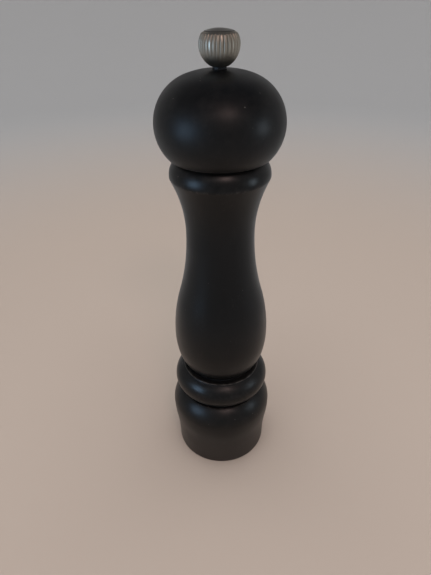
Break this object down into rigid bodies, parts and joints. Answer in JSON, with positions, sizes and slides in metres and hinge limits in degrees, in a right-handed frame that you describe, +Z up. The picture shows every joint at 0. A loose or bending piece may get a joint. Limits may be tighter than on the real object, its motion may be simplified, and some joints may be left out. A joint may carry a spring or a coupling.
{
  "type": "pepper mill",
  "caption": "Turned wooden pepper mill in black lacquer: its ball head turns a square shaft and toothed steel grinder in the waisted body, and a fluted steel knob sets the grind.",
  "frame": {"origin": "centre of the foot, on the surface that the mill stands on", "axes": "+Z up along the mill's axis, from the foot to the knob; +X and +Y across it"},
  "size_m": [0.055, 0.055, 0.22],
  "materials": {
    "black_lacquer": "satin black lacquer on beech",
    "satin_steel": "satin",
    "turned_steel": "turned",
    "plated_steel": "zinc plated",
    "screw_steel": "yellow zinc plated",
    "shaft_steel": "drawn",
    "spring_steel": "drawn wire",
    "grinder_steel": "case hardened, dark"
  },
  "bodies": {
    "body": {"body": "black_lacquer", "stator": "grinder_steel", "bridge": "plated_steel", "retaining_plate": "plated_steel", "retaining_screws": "screw_steel"},
    "spindle": {"thrust_washer": "plated_steel", "spring": "spring_steel"},
    "shaft": {"drive_shaft": "shaft_steel", "rotor": "grinder_steel", "rotor_washer": "plated_steel", "rotor_nut": "plated_steel"},
    "head": {"head": "black_lacquer", "head_bush": "turned_steel", "drive_plate": "plated_steel", "drive_plate_screws": "screw_steel"},
    "knob": {"knob": "satin_steel", "knob_cap": "satin_steel", "knob_bush": "turned_steel"}
  },
  "joints": [
    {"name": "mill_turn", "type": "hinge", "parent": "body", "child": "spindle", "pos_m": [0, 0, 0.02], "axis": [0, 0, 1], "continuous": true},
    {"name": "head_lift", "type": "slide", "parent": "spindle", "child": "head", "axis": [0, 0, 1], "range_m": [0, 0.075]},
    {"name": "knob_turn", "type": "hinge", "parent": "head", "child": "knob", "pos_m": [0, 0, 0.2149], "axis": [0, 0, -1], "range_deg": [0, 680]},
    {"name": "grind_slide", "type": "slide", "parent": "spindle", "child": "shaft", "axis": [0, 0, 1], "range_m": [0, 0.00131], "deforming": ["spring"]}
  ],
  "couplings": [
    {"joint": "knob_turn", "follows": "grind_slide", "rad_per_m": 8976}
  ]
}
